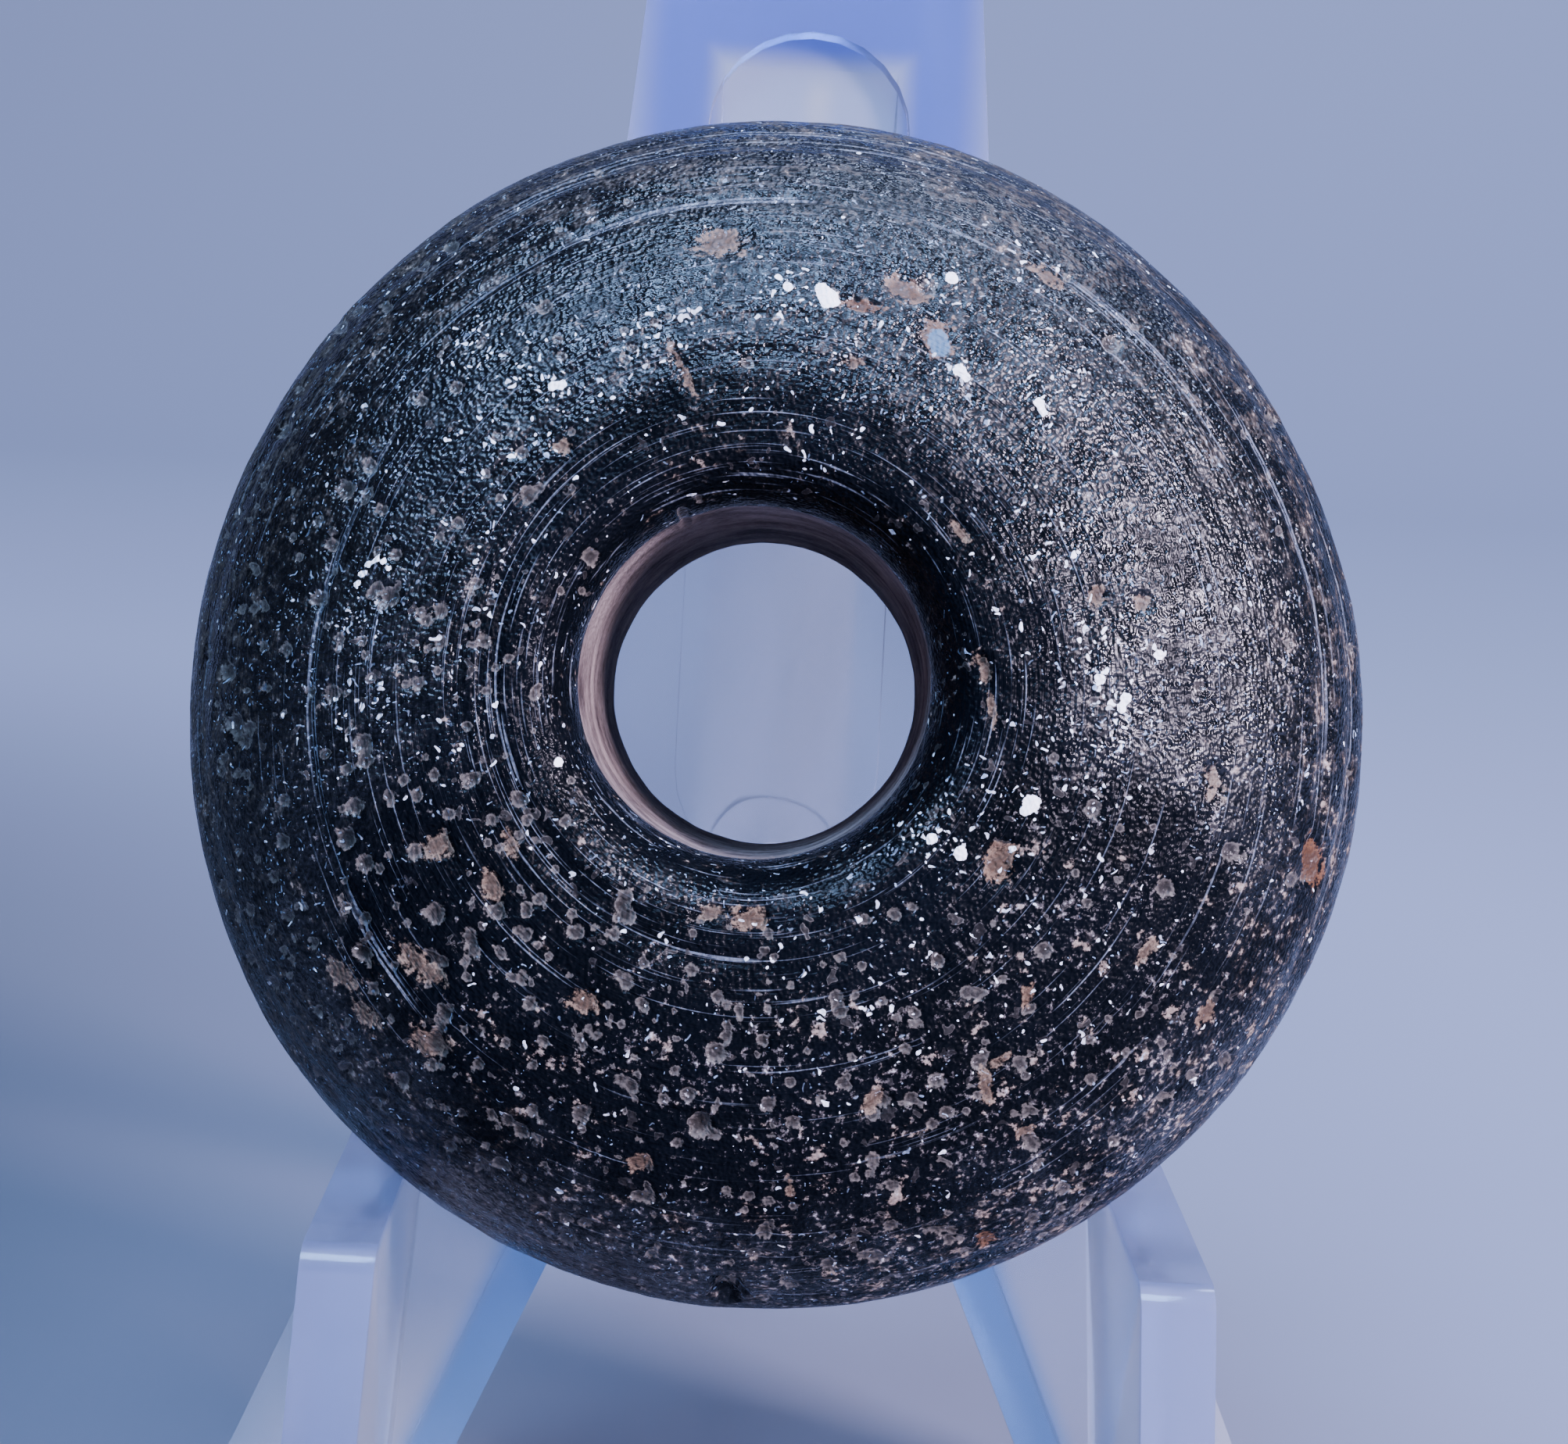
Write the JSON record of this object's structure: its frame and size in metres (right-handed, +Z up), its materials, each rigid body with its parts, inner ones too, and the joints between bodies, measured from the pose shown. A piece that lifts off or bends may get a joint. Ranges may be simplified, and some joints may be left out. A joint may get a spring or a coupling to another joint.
{
  "type": "glass spindle whorl on a display easel",
  "caption": "Thick ring of weathered black glass with a round off-centre bore, resting on the arms of a small clear plastic display easel.",
  "frame": {"origin": "on the table, under the middle of the whole object's box", "axes": "+Z up, the whorl's front face looks along -Y and leans back, +X to the right seen from the front"},
  "size_m": [0.031, 0.0424, 0.0452],
  "materials": {
    "black_glass": "opaque, weathered and pitted, satin",
    "clear_plastic": "clear, polished"
  },
  "bodies": {
    "root": {"spindle_whorl": "black_glass", "display_easel": "clear_plastic"}
  },
  "joints": []
}
